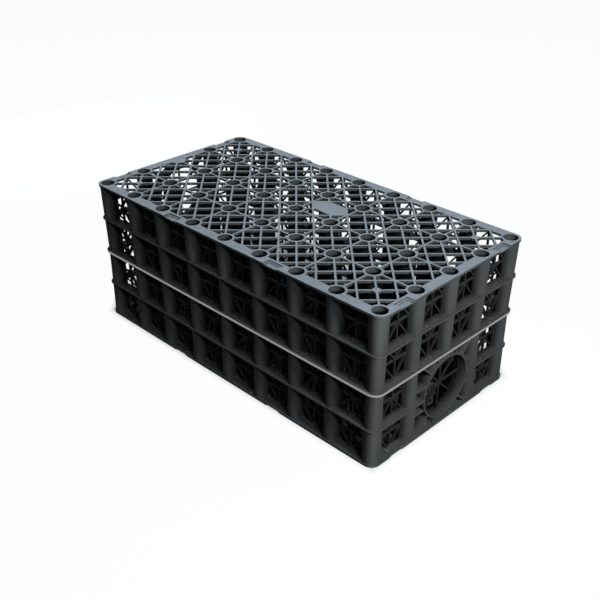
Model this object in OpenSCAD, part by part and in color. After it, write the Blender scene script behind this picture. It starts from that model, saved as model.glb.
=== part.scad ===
// Soakaway crate: two copies of one open moulding, the upper one turned over end for end on the lower.
// +Z is up, X runs along the length, and the origin is the middle of the underside.

/* [Crate] */
// Distance between neighbouring column axes
pitch = 120; // [112:1:135]
// Number of columns along the length
rows_x = 9; // [7:1:10]
// Number of columns across the width
rows_y = 5; // [5:2:7]
// Distance from the outer column axes to the outer edge
edge = 25; // [23:0.5:32]
// Height of one half
half_h = 200; // [190:1:230]

/* [Plate] */
// Thickness of the lattice plate
plate_t = 6; // [5:0.5:8]
// Width of the plate's ribs
rib_w = 5; // [4:0.25:6.5]
// Outer radius of the ring round each column mouth
boss_r = 24; // [22:0.5:26]
// Radius of each column mouth
mouth_r = 18.25; // [16.75:0.25:19]
// Thickness of the plate's lip round each column mouth
lip_t = 3.8; // [2.6:0.2:4.6]
// Width of the blank label patch across the crate
label_w = 59; // [40:1:80]
// Radius of the moulding gate pads
gate_r = 10; // [7:0.5:12]

/* [Clip pockets] */
// Length of each clip pocket along the edge
pocket_l = 46; // [40:1:54]
// Reach of each pocket inwards from the edge
pocket_w = 21; // [18:0.5:22]
// Depth of the pocket's upper step below the plate's face
pocket_d = 2.2; // [1.6:0.2:4]
// Depth of the pocket's lower step below the upper one
step_d = 1.4; // [1:0.2:4]
// Width of the upper step round the lower one
step_w = 5.5; // [3:0.25:6]
// Thickness of the pocket's floor and walls
pocket_floor = 3; // [2:0.25:4]

/* [Columns] */
// Outer radius of a column at the plate
col_r_plate = 22.5; // [21:0.25:22.75]
// Outer radius of a column at mid-height of the crate
col_r_mid = 19; // [17:0.25:20]
// Wall thickness of a column
col_wall = 2.5; // [2:0.1:2.8]
// Length of the spigots that enter the other half's columns
spigot_len = 8; // [5:0.5:12]
// Wall thickness of a spigot
spigot_wall = 2; // [1.6:0.1:2.6]
// Clearance all round a spigot
spigot_gap = 0.3; // [0.2:0.05:0.5]

/* [Side walls] */
// Thickness of the belt flange at mid-height of a half
belt_t = 3.6; // [3:0.2:5]
// Thickness of the rim flange where the halves meet
rim_t = 3.4; // [3:0.2:5]
// Depth of the wall lattice, along the wall's normal
wall_t = 6; // [5:0.5:8]
// Width of the wall lattice bars
bar_w = 4; // [3:0.25:5]
// Distance from a column axis to the wall openings beside it
post_w = 23.5; // [23:0.25:26]
// Width of the small triangular gussets at the wall
gusset_w = 24; // [16:1:28]
// Width of the gussets' tips
gusset_tip = 3; // [2:0.5:5]
// Reach of the gussets in front of the wall
gusset_l = 10.5; // [7:0.5:13]
// Height of the gussets above the flange
gusset_h = 3; // [2:0.25:5]

/* [Pipe ring] */
// Outer diameter of the pipe that enters the ring
pipe_d = 160; // [125:1:160]
// Clearance all round the pipe
pipe_gap = 0.25; // [0.1:0.05:0.6]
// Wall thickness of the ring
ring_wall = 4.5; // [3.5:0.25:5]
// Distance of the ring's front behind the outer edge
ring_set = 3; // [1:0.5:6]
// Length of the ring
ring_len = 32; // [30:1:40]
// Width of the ledge where the pipe stops
stop_w = 4; // [3:0.5:6]
// Width of the star's spokes across the ring
spoke_w = 4; // [3:0.25:6]
// Depth of the star's spokes along the pipe
spoke_t = 5; // [4:0.5:7]
// Thickness of the ribs that hold the ring
ring_rib_t = 4; // [3:0.25:5]
// Spacing of the parallel ribs that hold the ring
ring_rib_step = 34; // [28:1:38]
// Distance of the ribs' fronts behind the ring's front
ring_rib_set = 2; // [1:0.25:4]

/* [Hidden] */
span_x = (rows_x - 1) * pitch;
span_y = (rows_y - 1) * pitch;
len_x = span_x + 2 * edge;
len_y = span_y + 2 * edge;
cell = pitch / 2;
belt_z = half_h / 2;
mid_j = (rows_y - 1) / 2;
pocket_x = (floor((rows_x - 1) / 2) + 1) * pitch - span_x / 2 + cell;
panel_half = pitch / 2 - col_r_mid + col_wall / 2;
open_half = pitch / 2 - post_w;
bore_r_mid = col_r_mid - col_wall;
spigot_r = bore_r_mid - spigot_gap;
ring_in = pipe_d / 2 + pipe_gap;
ring_out = ring_in + ring_wall;
ring_front = span_x / 2 + edge - ring_set;
ring_stop = span_x / 2 + spoke_t / 2;
over = 1;

function col_x(i) = i * pitch - span_x / 2;
function col_y(j) = j * pitch - span_y / 2;
function has_col(i, j) = !(i == rows_x - 1 && j == mid_j);
function has_spigot(i, j) = col_x(i) < -1 && has_col(i, j) && has_col(rows_x - 1 - i, j);
function col_r(z) = col_r_plate + (col_r_mid - col_r_plate) * z / half_h;

// Rounded outline of the plate and the flanges, drawn in by a distance
module outline(inset) {
    r = edge - inset;
    union() {
        square([len_x - 2 * inset, span_y], center = true);
        square([span_x, len_y - 2 * inset], center = true);
        for (sx = [-1, 1]) {
            for (sy = [-1, 1]) {
                translate([sx * span_x / 2, sy * span_y / 2]) circle(r);
            }
        }
    }
}

// One of the eight corner openings of a plate cell
module corner_opening() {
    r = rib_w / 2;
    k = 1 + sqrt(2);
    difference() {
        polygon([
            [cell / 2 + r * sqrt(2), cell / 2],
            [cell - r, r * k],
            [cell - r, cell - r * k]
        ]);
        translate([cell, cell]) circle(boss_r);
    }
}

// All the openings of one plate cell: four squares round the middle and two at each corner
module cell_openings() {
    side = cell / sqrt(2) - rib_w;
    for (a = [0 : 90 : 270]) {
        rotate(a) translate([cell / 2, 0]) rotate(45) square(side, center = true);
        rotate(a) corner_opening();
        rotate(a) mirror([1, -1]) corner_opening();
    }
}

// Blank patch for a label, across one cell of the plate
module label_patch() {
    d = label_w / 2;
    polygon([[-cell, 0], [-(cell - d), d], [cell - d, d], [cell, 0], [cell - d, -d], [-(cell - d), -d]]);
}

// Outline of the lattice plate
module plate_2d() {
    union() {
        difference() {
            outline(0);
            for (i = [0 : rows_x - 2]) {
                for (j = [0 : rows_y - 2]) {
                    translate([col_x(i) + cell, col_y(j) + cell]) cell_openings();
                }
            }
        }
        translate([col_x(floor((rows_x - 1) / 2)) - cell, col_y(mid_j) + cell]) label_patch();
        for (sx = [-1, 1]) {
            for (sy = [-1, 1]) {
                translate([sx * (span_x / 2 - cell), sy * (span_y / 2 - cell)]) circle(gate_r);
            }
            translate([sx * (span_x / 2 - cell), 0]) circle(gate_r * 0.7);
            translate([sx * pocket_x, 0]) circle(gate_r * 0.7);
        }
    }
}

// Places its children at the eight clip pockets, with the edge along Y = 0
module at_pockets() {
    for (s = [-1, 1]) {
        for (t = [-1, 1]) {
            translate([t * pocket_x, s * len_y / 2, 0]) rotate(s > 0 ? 180 : 0) children();
            translate([s * len_x / 2, t * (span_y / 2 - cell), 0]) rotate(s > 0 ? 90 : -90) children();
        }
    }
}

// Floor and walls of one clip pocket, under the plate's border
module pocket_body() {
    translate([-pocket_l / 2, 0, 0]) cube([pocket_l, pocket_w, pocket_d + step_d + pocket_floor]);
}

// Space of one clip pocket: a wide upper step and a narrower lower one, both open at the edge
module pocket_space() {
    w = pocket_l - 2 * step_w;
    translate([-pocket_l / 2, -over, -over]) cube([pocket_l, pocket_w + over, pocket_d + over]);
    translate([-w / 2, -over, -over]) cube([w, pocket_w - step_w + over, pocket_d + step_d + over]);
}

// Outer bodies of all the columns, those of the -X end with a spigot
module columns() {
    for (i = [0 : rows_x - 1]) {
        for (j = [0 : rows_y - 1]) {
            if (has_col(i, j)) {
                translate([col_x(i), col_y(j), 0]) cylinder(h = half_h, r1 = col_r_plate, r2 = col_r_mid);
            }
            if (has_spigot(i, j)) {
                translate([col_x(i), col_y(j), half_h - over])
                    cylinder(h = spigot_len + over, r = spigot_r);
            }
        }
    }
}

// Mouth with its lip and tapered hollow of a column, narrower through a spigot
module column_bore(spigot) {
    h = spigot ? half_h - spigot_len : half_h;
    translate([0, 0, -over]) cylinder(h = lip_t + 2 * over, r = mouth_r);
    translate([0, 0, lip_t])
        cylinder(h = h - lip_t, r1 = col_r(lip_t) - col_wall, r2 = col_r(h) - col_wall);
    if (spigot) {
        translate([0, 0, h - over]) cylinder(h = 2 * spigot_len + 2 * over, r = spigot_r - spigot_wall);
    }
}

// Hollows of all the columns
module column_bores() {
    for (i = [0 : rows_x - 1]) {
        for (j = [0 : rows_y - 1]) {
            if (has_col(i, j)) {
                translate([col_x(i), col_y(j), 0]) column_bore(has_spigot(i, j));
            }
        }
    }
}

// Flange ring round all four sides
module flange(z, t) {
    translate([0, 0, z]) linear_extrude(t) difference() {
        outline(0);
        square([span_x - wall_t - 4, span_y - wall_t - 4], center = true);
    }
}

// One quarter of a wall tier: two openings on either side of a slanting bar
module quarter(z0, z1, up) {
    c = bar_w / 2;
    b = open_half;
    dx = b - c;
    dz = z1 - z0;
    len = sqrt(dx * dx + dz * dz);
    vo = bar_w / 2 * len / dx;
    ho = bar_w / 2 * len / dz;
    za = up ? z0 : z1;
    zb = up ? z1 : z0;
    s = up ? 1 : -1;
    polygon([[c, za + s * vo], [c, zb], [b - ho, zb]]);
    polygon([[c + ho, za], [b, za], [b, zb - s * vo]]);
}

// Openings of one wall tier between two heights
module tier_openings(z0, z1, up) {
    zm = (z0 + z1) / 2;
    for (m = [0, 1]) {
        mirror([m, 0]) quarter(z0, zm - bar_w / 2, up);
        mirror([m, 0]) quarter(zm + bar_w / 2, z1, up);
    }
}

// Lattice panel of one bay, from column to column, with gussets on the flanges
module bay_panel() {
    z_belt0 = belt_z - belt_t / 2;
    z_belt1 = belt_z + belt_t / 2;
    z_rim = half_h - rim_t;
    translate([0, wall_t / 2, 0]) rotate([90, 0, 0]) linear_extrude(wall_t) difference() {
        translate([-panel_half, plate_t / 2]) square([2 * panel_half, half_h - plate_t / 2 - rim_t / 2]);
        tier_openings(plate_t, z_belt0, true);
        tier_openings(z_belt1, z_rim, false);
    }
    gusset(belt_z, belt_t / 2 + gusset_h);
    gusset(z_belt0 - gusset_h, belt_t / 2 + gusset_h);
    gusset(z_rim - gusset_h, rim_t / 2 + gusset_h);
}

// Small triangular gusset against a flange, in front of the middle bar
module gusset(z, h) {
    d = wall_t / 2 + gusset_l;
    translate([0, 0, z]) linear_extrude(h) polygon([
        [-gusset_w / 2, 0],
        [-gusset_tip / 2, -d],
        [gusset_tip / 2, -d],
        [gusset_w / 2, 0]
    ]);
}

// Lattice panels of the four sides; the two middle bays at the pipe end stay open
module walls() {
    for (k = [0 : rows_x - 2]) {
        translate([col_x(k) + cell, -span_y / 2, 0]) bay_panel();
        translate([col_x(k) + cell, span_y / 2, 0]) rotate(180) bay_panel();
    }
    for (k = [0 : rows_y - 2]) {
        translate([-span_x / 2, col_y(k) + cell, 0]) rotate(-90) bay_panel();
        if (k != mid_j - 1 && k != mid_j) {
            translate([span_x / 2, col_y(k) + cell, 0]) rotate(90) bay_panel();
        }
    }
}

// Round space of the pipe ring along X
module ring_cylinder(r, x0, x1) {
    translate([x0, 0, belt_z]) rotate([0, 90, 0]) cylinder(h = x1 - x0, r = r);
}

// Ribs between the pipe ring and the frame round it
module ring_ribs() {
    x0 = span_x / 2 - wall_t / 2;
    d = ring_front - ring_rib_set - x0;
    t = ring_rib_t;
    inner = ring_in * 0.75;
    reach = min(pitch - col_r_mid, half_h / 2 - rim_t / 2) * sqrt(2);
    for (s = [-1, 1]) {
        for (k = [-1, 0, 1]) {
            translate([x0, s > 0 ? inner : -pitch, belt_z + k * ring_rib_step - t / 2])
                cube([d, pitch - inner, t]);
            translate([x0, k * ring_rib_step - t / 2, s > 0 ? belt_z + inner : plate_t / 2])
                cube([d, t, half_h / 2 - inner - rim_t / 2]);
        }
        for (a = [45, -45]) {
            translate([x0, 0, belt_z]) rotate([a, 0, 0]) translate([0, s > 0 ? inner : -reach, -t / 2])
                cube([d, reach - inner, t]);
        }
    }
}

// Star of eight spokes across the ring, flush with the ledge where the pipe stops
module ring_star() {
    spoke_r = ring_in - stop_w / 2;
    for (a = [0 : 45 : 135]) {
        translate([ring_stop - spoke_t, 0, belt_z]) rotate([a, 0, 0])
            translate([0, -spoke_r, -spoke_w / 2]) cube([spoke_t, 2 * spoke_r, spoke_w]);
    }
}

// Pipe ring with its inner ledge and its star
module pipe_ring() {
    difference() {
        ring_cylinder(ring_out, ring_front - ring_len, ring_front);
        ring_cylinder(ring_in, ring_stop, ring_front + over);
        ring_cylinder(ring_in - stop_w, ring_front - ring_len - over, ring_stop + over);
    }
    ring_star();
}

// One half of the crate, plate down and pipe ring at +X
module half() {
    difference() {
        union() {
            linear_extrude(plate_t) plate_2d();
            columns();
            walls();
            flange(half_h - rim_t, rim_t);
            at_pockets() pocket_body();
            difference() {
                union() {
                    flange(belt_z - belt_t / 2, belt_t);
                    ring_ribs();
                }
                ring_cylinder(ring_in + ring_wall / 2, span_x / 2 - edge, len_x / 2 + over);
            }
            pipe_ring();
        }
        column_bores();
        at_pockets() pocket_space();
    }
}

module lower_half() {
    color([0.13, 0.14, 0.15]) half();
}

module upper_half() {
    color([0.15, 0.16, 0.17]) translate([0, 0, 2 * half_h]) rotate([0, 180, 0]) half();
}

lower_half();
upper_half();
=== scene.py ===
"""Looks of the soakaway crate: moulded plastic on both halves, pale floor, soft light, the photo's view."""

import bpy
from mathutils import Matrix, Vector


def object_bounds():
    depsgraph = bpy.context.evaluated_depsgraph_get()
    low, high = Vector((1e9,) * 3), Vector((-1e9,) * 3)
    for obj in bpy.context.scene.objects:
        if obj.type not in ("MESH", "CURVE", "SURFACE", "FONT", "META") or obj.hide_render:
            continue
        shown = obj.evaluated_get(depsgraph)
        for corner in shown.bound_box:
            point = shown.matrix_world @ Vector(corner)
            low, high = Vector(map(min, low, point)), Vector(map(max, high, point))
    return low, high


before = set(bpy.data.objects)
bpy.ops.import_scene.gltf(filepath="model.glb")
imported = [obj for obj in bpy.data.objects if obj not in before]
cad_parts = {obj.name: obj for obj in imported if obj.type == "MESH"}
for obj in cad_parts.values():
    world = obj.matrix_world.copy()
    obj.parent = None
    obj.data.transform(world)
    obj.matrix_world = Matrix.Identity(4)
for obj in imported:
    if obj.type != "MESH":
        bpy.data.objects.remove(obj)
cad_low, cad_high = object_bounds()

# Camera: fitted to the photo, in metres from the middle of the underside
CAMERA_AT = (1.4187, -1.4227, 1.2896)
CAMERA_ALONG = (-0.59484, 0.59830, -0.53684)
CAMERA_LENS = 51.315
CAMERA_SENSOR = 36.0
CAMERA_SHIFT = (0.0043, 0.0622)
CAMERA_CLIP = (0.05, 50.0)

# Plastic: linear colours
PLASTIC = (0.046, 0.049, 0.051)
PLASTIC_LIGHT = (0.058, 0.061, 0.063)
# painted shade: the near-black that the crate's inner parts are painted, standing in for the shade inside
PAINTED_INNER_SHADE = (0.008, 0.0085, 0.009)
# pale colour of the worn edges, also used for the painted highlights on the corners and the painted glints
PALE_SCUFF_AND_HIGHLIGHT = (0.16, 0.165, 0.17)
# dust and painted sheen: the blue-grey that the top face is painted, paler as if lit from above
DUST_AND_PAINTED_SHEEN_TINT = (0.16, 0.20, 0.25)
SEAM = (0.06, 0.062, 0.064)

# Plastic: noise scales per metre, the roughness of all noise, and the stretch of the drag lines along Z
CLOUD_SCALE = 9.0
PATCH_SCALE = 70.0
DRAG_SCALE = 420.0
GRAIN_SCALE = 1500.0
FINE_DETAIL = 2.0
NOISE_ROUGHNESS = 0.55
DRAG_STRETCH = (1.0, 1.0, 0.03)

# Plastic: the spans of noise that are used, and the shares or roughness that noise and reach stand for
NOISE_SPAN = (0.30, 0.70)
MOTTLE_SPAN = (0.35, 0.65)
WEAR_SPAN = (0.35, 0.70)
SPECK_SPAN = (0.64, 0.72)
WEAR_SHARE = (0.15, 0.75)
DUST_AND_SHEEN_SHARE = (0.25, 0.46)
CORNER_HIGHLIGHT_SHARE = (0.26, 0.42)
CORNER_HIGHLIGHT_REACH_SHARE = (0.3, 1.0)
SPECK_SHARE = (0.0, 0.8)
ROUGHNESS = (0.40, 0.52)

# Plastic: gloss of the sides and of the top face, and the coat that makes the seam's edge bright
PLASTIC_IOR = 1.49
GLOSS = (0.006, 0.45)
COAT_IOR = 3.0
COAT_ROUGHNESS = 0.30

# Plastic: relief in metres, and how far the rounded normal leaves the flat one where an edge is worn
EDGE_R = 0.0009
EDGE_SAMPLES = 4
EDGE_SPAN = (0.985, 0.80)
DRAG_BUMP = (0.35, 0.0002)
GRAIN_BUMP = (0.30, 0.0001)

# Normals: how far up a face points to count as lying, and how little to count as upright
LYING_SPAN = (0.55, 0.95)
UPRIGHT_SPAN = (0.6, 0.3)

# Places on the crate, in metres: its top face with the pockets, the seam of the halves, the rounded corners
TOP_Z = cad_high.z
TOP_SPAN = (TOP_Z - 0.0058, TOP_Z - 0.0030)
SEAM_Z = cad_high.z / 2
SEAM_HALF = 0.0034
SEAM_SPAN = (SEAM_HALF + 0.0001, SEAM_HALF - 0.0005)
CORNER_R = 0.025
OUTSIDE_SPAN = (CORNER_R - 0.0010, CORNER_R - 0.0005)
# painted highlight on the upright corners: where it starts past the rounding's axis, and how far out it is
# strongest
CORNER_HIGHLIGHT_SPAN = (0.002, 0.014)
CORNER_HIGHLIGHT_REACH = (0.018, 0.0245)

# Depths behind the outer faces, in metres, at which the painted shade inside the crate starts and is full;
# the belts are eased out of it
WALL_SPAN = (0.009, 0.026)
BELT_EASE = 0.004
PLATE_SPAN = (0.010, 0.016)

# Floor: pale to the eye, dim as a source of light, and dark in the contact shadow under the crate
FLOOR_SEEN = (0.95, 0.95, 0.95)
FLOOR_DIM = (0.08, 0.08, 0.08)
FLOOR_SHADE = (0.02, 0.02, 0.02)
FLOOR_GLOW = (0.0, 0.96)
FLOOR_HALF = 9.0
FLOOR_Z = -0.0005

# Shadow on the floor: its length, how it fades, and the softness of its sides in metres
SHADOW_REACH = 0.34
SHADOW_POWER = 1.5
SHADOW_SPREAD = 0.6
SHADOW_SOFT = 0.040
SHADOW_RIM = 0.015

# Light: the surroundings, and each lamp's place and size in metres, watts, colour, and if gloss shows it
WHITE = (1.0, 1.0, 1.0, 1.0)
WORLD_COLOUR = (0.86, 0.93, 1.0, 1.0)
WORLD_STRENGTH = 0.03
LAMP_AIM = (0.0, 0.0, 0.2)
LAMPS = (
    ("lamp_top", (-1.5, 1.6, 2.3), (3.0, 2.4), 57.0, (0.66, 0.84, 1.0), True),
    ("lamp_end", (1.45, -0.34, 1.02), (0.14, 0.14), 19.0, (0.97, 1.0, 0.99), False),
    ("lamp_far", (-2.3, 0.45, 0.30), (0.7, 0.18), 18.0, (0.92, 0.97, 1.0), False),
    ("lamp_side", (2.79, -1.28, 2.05), (0.4, 0.4), 45.0, (0.96, 1.0, 1.0), False),
)


class Nodes:
    """Builds a node tree with short calls."""

    def __init__(self, tree):
        self.tree = tree
        tree.nodes.clear()

    def feed(self, socket, value):
        """Links a socket to a node's output, or sets it to a constant."""
        if isinstance(value, bpy.types.NodeSocket):
            self.tree.links.new(value, socket)
        else:
            socket.default_value = value

    def add(self, kind, inputs=None, **settings):
        node = self.tree.nodes.new(kind)
        for key, value in settings.items():
            setattr(node, key, value)
        for key, value in (inputs or {}).items():
            self.feed(node.inputs[key], value)
        return node

    def noise(self, where, scale, detail=3.0):
        return self.add("ShaderNodeTexNoise", {
            "Vector": where, "Scale": scale, "Detail": detail, "Roughness": NOISE_ROUGHNESS,
        }).outputs["Fac"]

    def remap(self, value, span, onto=(0.0, 1.0)):
        return self.add("ShaderNodeMapRange", {
            "Value": value, "From Min": span[0], "From Max": span[1], "To Min": onto[0], "To Max": onto[1],
        }).outputs["Result"]

    def math(self, operation, a, b=0.0):
        return self.add("ShaderNodeMath", {0: a, 1: b}, operation=operation).outputs[0]

    def plus(self, a, b):
        return self.math("ADD", a, b)

    def minus(self, a, b):
        return self.math("SUBTRACT", a, b)

    def times(self, a, b):
        return self.math("MULTIPLY", a, b)

    def larger(self, a, b):
        return self.math("MAXIMUM", a, b)

    def smaller(self, a, b):
        return self.math("MINIMUM", a, b)

    def size(self, a):
        return self.math("ABSOLUTE", a)

    def axes(self, vector):
        return self.add("ShaderNodeSeparateXYZ", {0: vector}).outputs

    def bump(self, height, strength_and_depth, normal):
        strength, depth = strength_and_depth
        return self.add("ShaderNodeBump", {
            "Strength": strength, "Distance": depth, "Height": height, "Normal": normal,
        }).outputs["Normal"]

    def mix(self, share, a, b):
        """Mixes two colours; the colour sockets of the node are numbers 6 and 7."""
        node = self.add("ShaderNodeMix", data_type="RGBA")
        self.feed(node.inputs[0], share)
        for key, colour in ((6, a), (7, b)):
            self.feed(node.inputs[key], (*colour, 1.0) if isinstance(colour, tuple) else colour)
        return node.outputs[2]

    def output(self, kind, surface):
        self.add(kind, {"Surface": surface}).is_active_output = True


def past_corner(n, place):
    """Distance past the axis of the nearest corner's rounding: the lesser of X and Y, and straight."""
    past = []
    for axis, half in (("X", cad_high.x), ("Y", cad_high.y)):
        past.append(n.larger(n.minus(n.size(place[axis]), half - CORNER_R), 0.0))
    reach = n.math("SQRT", n.plus(n.times(past[0], past[0]), n.times(past[1], past[1])))
    return n.smaller(past[0], past[1]), reach


def outer_seam(n, place, upward, reach):
    """One on the rims' outer edge faces, where the halves meet, and none elsewhere."""
    outside = n.remap(reach, OUTSIDE_SPAN)
    near = n.remap(n.size(n.minus(place["Z"], SEAM_Z)), SEAM_SPAN)
    upright = n.remap(n.size(upward), UPRIGHT_SPAN)
    return n.times(n.times(outside, near), upright)


def painted_corner_highlight(n, diagonal, reach, lying, patch):
    """Share of a painted highlight on the crate's upright corners, most on what stands out furthest."""
    share = n.times(n.remap(diagonal, CORNER_HIGHLIGHT_SPAN), n.remap(reach, CORNER_HIGHLIGHT_REACH, CORNER_HIGHLIGHT_REACH_SHARE))
    share = n.times(share, n.minus(1.0, lying))
    return n.times(share, n.remap(patch, NOISE_SPAN, CORNER_HIGHLIGHT_SHARE))


def painted_inner_shade_share(n, place, lying):
    """Share of painted shade: one on what lies behind the walls and between the plates, falling to none on
    the outer faces.
    """
    share = n.remap(n.minus(TOP_Z, place["Z"]), PLATE_SPAN)
    share = n.times(share, n.remap(place["Z"], PLATE_SPAN))
    for axis, half in (("X", cad_high.x), ("Y", cad_high.y)):
        depth = n.minus(n.minus(half, n.size(place[axis])), n.times(lying, BELT_EASE))
        share = n.times(share, n.remap(depth, WALL_SPAN))
    return share


def moulded_plastic(name, offset):
    """Black polypropylene: satin skin with fine grain, drag lines along the draw and scuffs; dust with a
    painted sheen on the top face, painted highlights on the upright corners, dust specks with painted glints,
    and painted shade inside.
    """
    material = bpy.data.materials.new(name)
    material.use_nodes = True
    n = Nodes(material.node_tree)
    local = n.add("ShaderNodeTexCoord").outputs["Object"]
    place = n.axes(local)
    at = n.add("ShaderNodeMapping", {"Vector": local, "Location": offset}).outputs["Vector"]
    normal = n.add("ShaderNodeNewGeometry").outputs["Normal"]

    cloud = n.noise(at, CLOUD_SCALE)
    patch = n.noise(at, PATCH_SCALE)
    grain = n.noise(at, GRAIN_SCALE, FINE_DETAIL)
    drawn = n.add("ShaderNodeMapping", {"Vector": at, "Scale": DRAG_STRETCH}).outputs["Vector"]
    drag = n.noise(drawn, DRAG_SCALE, FINE_DETAIL)

    skin = n.add("ShaderNodeBevel", {"Radius": EDGE_R}, samples=EDGE_SAMPLES).outputs["Normal"]
    flat = n.add("ShaderNodeVectorMath", {0: skin, 1: normal}, operation="DOT_PRODUCT").outputs["Value"]
    worn = n.times(n.remap(flat, EDGE_SPAN), n.remap(patch, WEAR_SPAN, WEAR_SHARE))

    upward = n.axes(normal)["Z"]
    lying = n.remap(upward, LYING_SPAN)
    top = n.times(lying, n.remap(place["Z"], TOP_SPAN))
    # the top face is painted paler: dust together with a painted sheen of the light above
    dust_and_painted_sheen = n.times(top, n.remap(cloud, NOISE_SPAN, DUST_AND_SHEEN_SHARE))
    # pale specks on the lying faces below the top face: dust, and painted glints
    dust_and_glint_specks = n.times(n.minus(lying, top), n.remap(patch, SPECK_SPAN, SPECK_SHARE))
    diagonal, reach = past_corner(n, place)
    seam = outer_seam(n, place, upward, reach)

    colour = n.mix(n.remap(cloud, MOTTLE_SPAN), PLASTIC, PLASTIC_LIGHT)
    for share, over in (
        (dust_and_painted_sheen, DUST_AND_PAINTED_SHEEN_TINT),
        (worn, PALE_SCUFF_AND_HIGHLIGHT),
        # painted highlight on the upright corners, in the pale scuff colour
        (painted_corner_highlight(n, diagonal, reach, lying, patch), PALE_SCUFF_AND_HIGHLIGHT),
        # dust specks and painted glints, in the pale scuff colour
        (dust_and_glint_specks, PALE_SCUFF_AND_HIGHLIGHT),
        # painted shade: what lies behind the outer faces and between the plates is painted near-black
        (painted_inner_shade_share(n, place, lying), PAINTED_INNER_SHADE),
        (seam, SEAM),
    ):
        colour = n.mix(share, colour, over)

    relief = n.bump(grain, GRAIN_BUMP, n.bump(drag, DRAG_BUMP, skin))
    shader = n.add("ShaderNodeBsdfPrincipled", {
        "Base Color": colour, "Roughness": n.remap(patch, NOISE_SPAN, ROUGHNESS), "Normal": relief,
        "IOR": PLASTIC_IOR, "Specular IOR Level": n.remap(top, (0.0, 1.0), GLOSS),
        "Coat Weight": seam, "Coat IOR": COAT_IOR, "Coat Roughness": COAT_ROUGHNESS,
    })
    n.output("ShaderNodeOutputMaterial", shader.outputs[0])
    return material


def show(node, material):
    """Gives every slot of a CAD node the material."""
    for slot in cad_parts[node].material_slots:
        slot.material = material


def seen_by_eye(n):
    """One for rays from the camera, mirrors and glass, none for the rays that light the object."""
    path = n.add("ShaderNodeLightPath").outputs
    either = n.larger(path["Is Camera Ray"], path["Is Glossy Ray"])
    return n.larger(either, path["Is Transmission Ray"])


def out_of_shadow(n, place):
    """None under the crate, rising to one beyond its soft shadow, which falls to -X and +Y."""
    past_x = n.minus(cad_low.x, place["X"])
    past_y = n.minus(place["Y"], cad_high.y)
    shift = n.larger(n.larger(past_x, past_y), 0.0)
    room_x = n.minus(cad_high.x, place["X"])
    room_y = n.minus(place["Y"], cad_low.y)
    outward = n.minus(shift, n.smaller(room_x, room_y))
    soft = n.plus(n.times(shift, SHADOW_SPREAD), SHADOW_SOFT)
    beside = n.math("DIVIDE", n.plus(n.minus(outward, SHADOW_RIM), soft), soft)
    beside = n.remap(beside, (0.0, 1.0))
    behind = n.math("POWER", n.remap(shift, (0.0, SHADOW_REACH)), SHADOW_POWER)
    shaded = n.times(n.minus(1.0, beside), n.minus(1.0, behind))
    return n.minus(1.0, shaded)


def pale_floor():
    """Wide pale floor that stays white to the eye and keeps a soft shadow."""
    mesh = bpy.data.meshes.new("floor")
    corners = [(x * FLOOR_HALF, y * FLOOR_HALF, 0) for x, y in ((-1, -1), (1, -1), (1, 1), (-1, 1))]
    mesh.from_pydata(corners, [], [(0, 1, 2, 3)])
    floor = bpy.data.objects.new("floor", mesh)
    floor.location = (0, 0, FLOOR_Z)
    bpy.context.scene.collection.objects.link(floor)
    material = bpy.data.materials.new("floor")
    material.use_nodes = True
    n = Nodes(material.node_tree)
    at = n.add("ShaderNodeTexCoord").outputs["Object"]
    outside = out_of_shadow(n, n.axes(at))
    eye = seen_by_eye(n)
    paper = n.mix(outside, FLOOR_SHADE, n.mix(eye, FLOOR_DIM, FLOOR_SEEN))
    paper = n.add("ShaderNodeBsdfDiffuse", {"Color": paper}).outputs[0]
    white = n.add("ShaderNodeEmission", {"Color": WHITE, "Strength": 1.0}).outputs[0]
    share = n.times(eye, n.remap(outside, (0.0, 1.0), FLOOR_GLOW))
    both = n.add("ShaderNodeMixShader", {0: share, 1: paper, 2: white}).outputs[0]
    n.output("ShaderNodeOutputMaterial", both)
    mesh.materials.append(material)


def studio():
    """Even pale surroundings and four lamps: above, at the pipe end, at the far end and along the side."""
    world = bpy.data.worlds.new("studio")
    bpy.context.scene.world = world
    world.use_nodes = True
    n = Nodes(world.node_tree)
    lit = n.add("ShaderNodeBackground", {"Color": WORLD_COLOUR, "Strength": WORLD_STRENGTH}).outputs[0]
    white = n.add("ShaderNodeBackground", {"Color": WHITE, "Strength": 1.0}).outputs[0]
    both = n.add("ShaderNodeMixShader", {0: seen_by_eye(n), 1: lit, 2: white}).outputs[0]
    n.output("ShaderNodeOutputWorld", both)
    for name, place, (wide, high), power, colour, in_gloss in LAMPS:
        data = bpy.data.lights.new(name, "AREA")
        data.shape = "RECTANGLE"
        data.size, data.size_y = wide, high
        data.energy = power
        data.color = colour
        lamp = bpy.data.objects.new(name, data)
        lamp.location = place
        lamp.visible_glossy = in_gloss
        lamp.rotation_mode = "QUATERNION"
        lamp.rotation_quaternion = (Vector(LAMP_AIM) - Vector(place)).to_track_quat("-Z", "Y")
        bpy.context.scene.collection.objects.link(lamp)


def photo_camera():
    """Camera at the photo's view."""
    data = bpy.data.cameras.new("camera")
    data.sensor_width = CAMERA_SENSOR
    data.lens = CAMERA_LENS
    data.shift_x, data.shift_y = CAMERA_SHIFT
    data.clip_start, data.clip_end = CAMERA_CLIP
    camera = bpy.data.objects.new("camera", data)
    along = Vector(CAMERA_ALONG).normalized()
    right = along.cross(Vector((0, 0, 1))).normalized()
    turn = Matrix((right, right.cross(along), -along)).transposed()
    camera.rotation_mode = "QUATERNION"
    camera.rotation_quaternion = turn.to_quaternion()
    camera.location = CAMERA_AT
    bpy.context.scene.collection.objects.link(camera)
    bpy.context.scene.camera = camera


show("lower_half", moulded_plastic("lower_plastic_skin", (0.0, 0.0, 0.0)))
show("upper_half", moulded_plastic("upper_plastic_skin", (3.7, 1.9, 2.3)))
pale_floor()
studio()
photo_camera()
bpy.context.scene.view_settings.view_transform = "Standard"
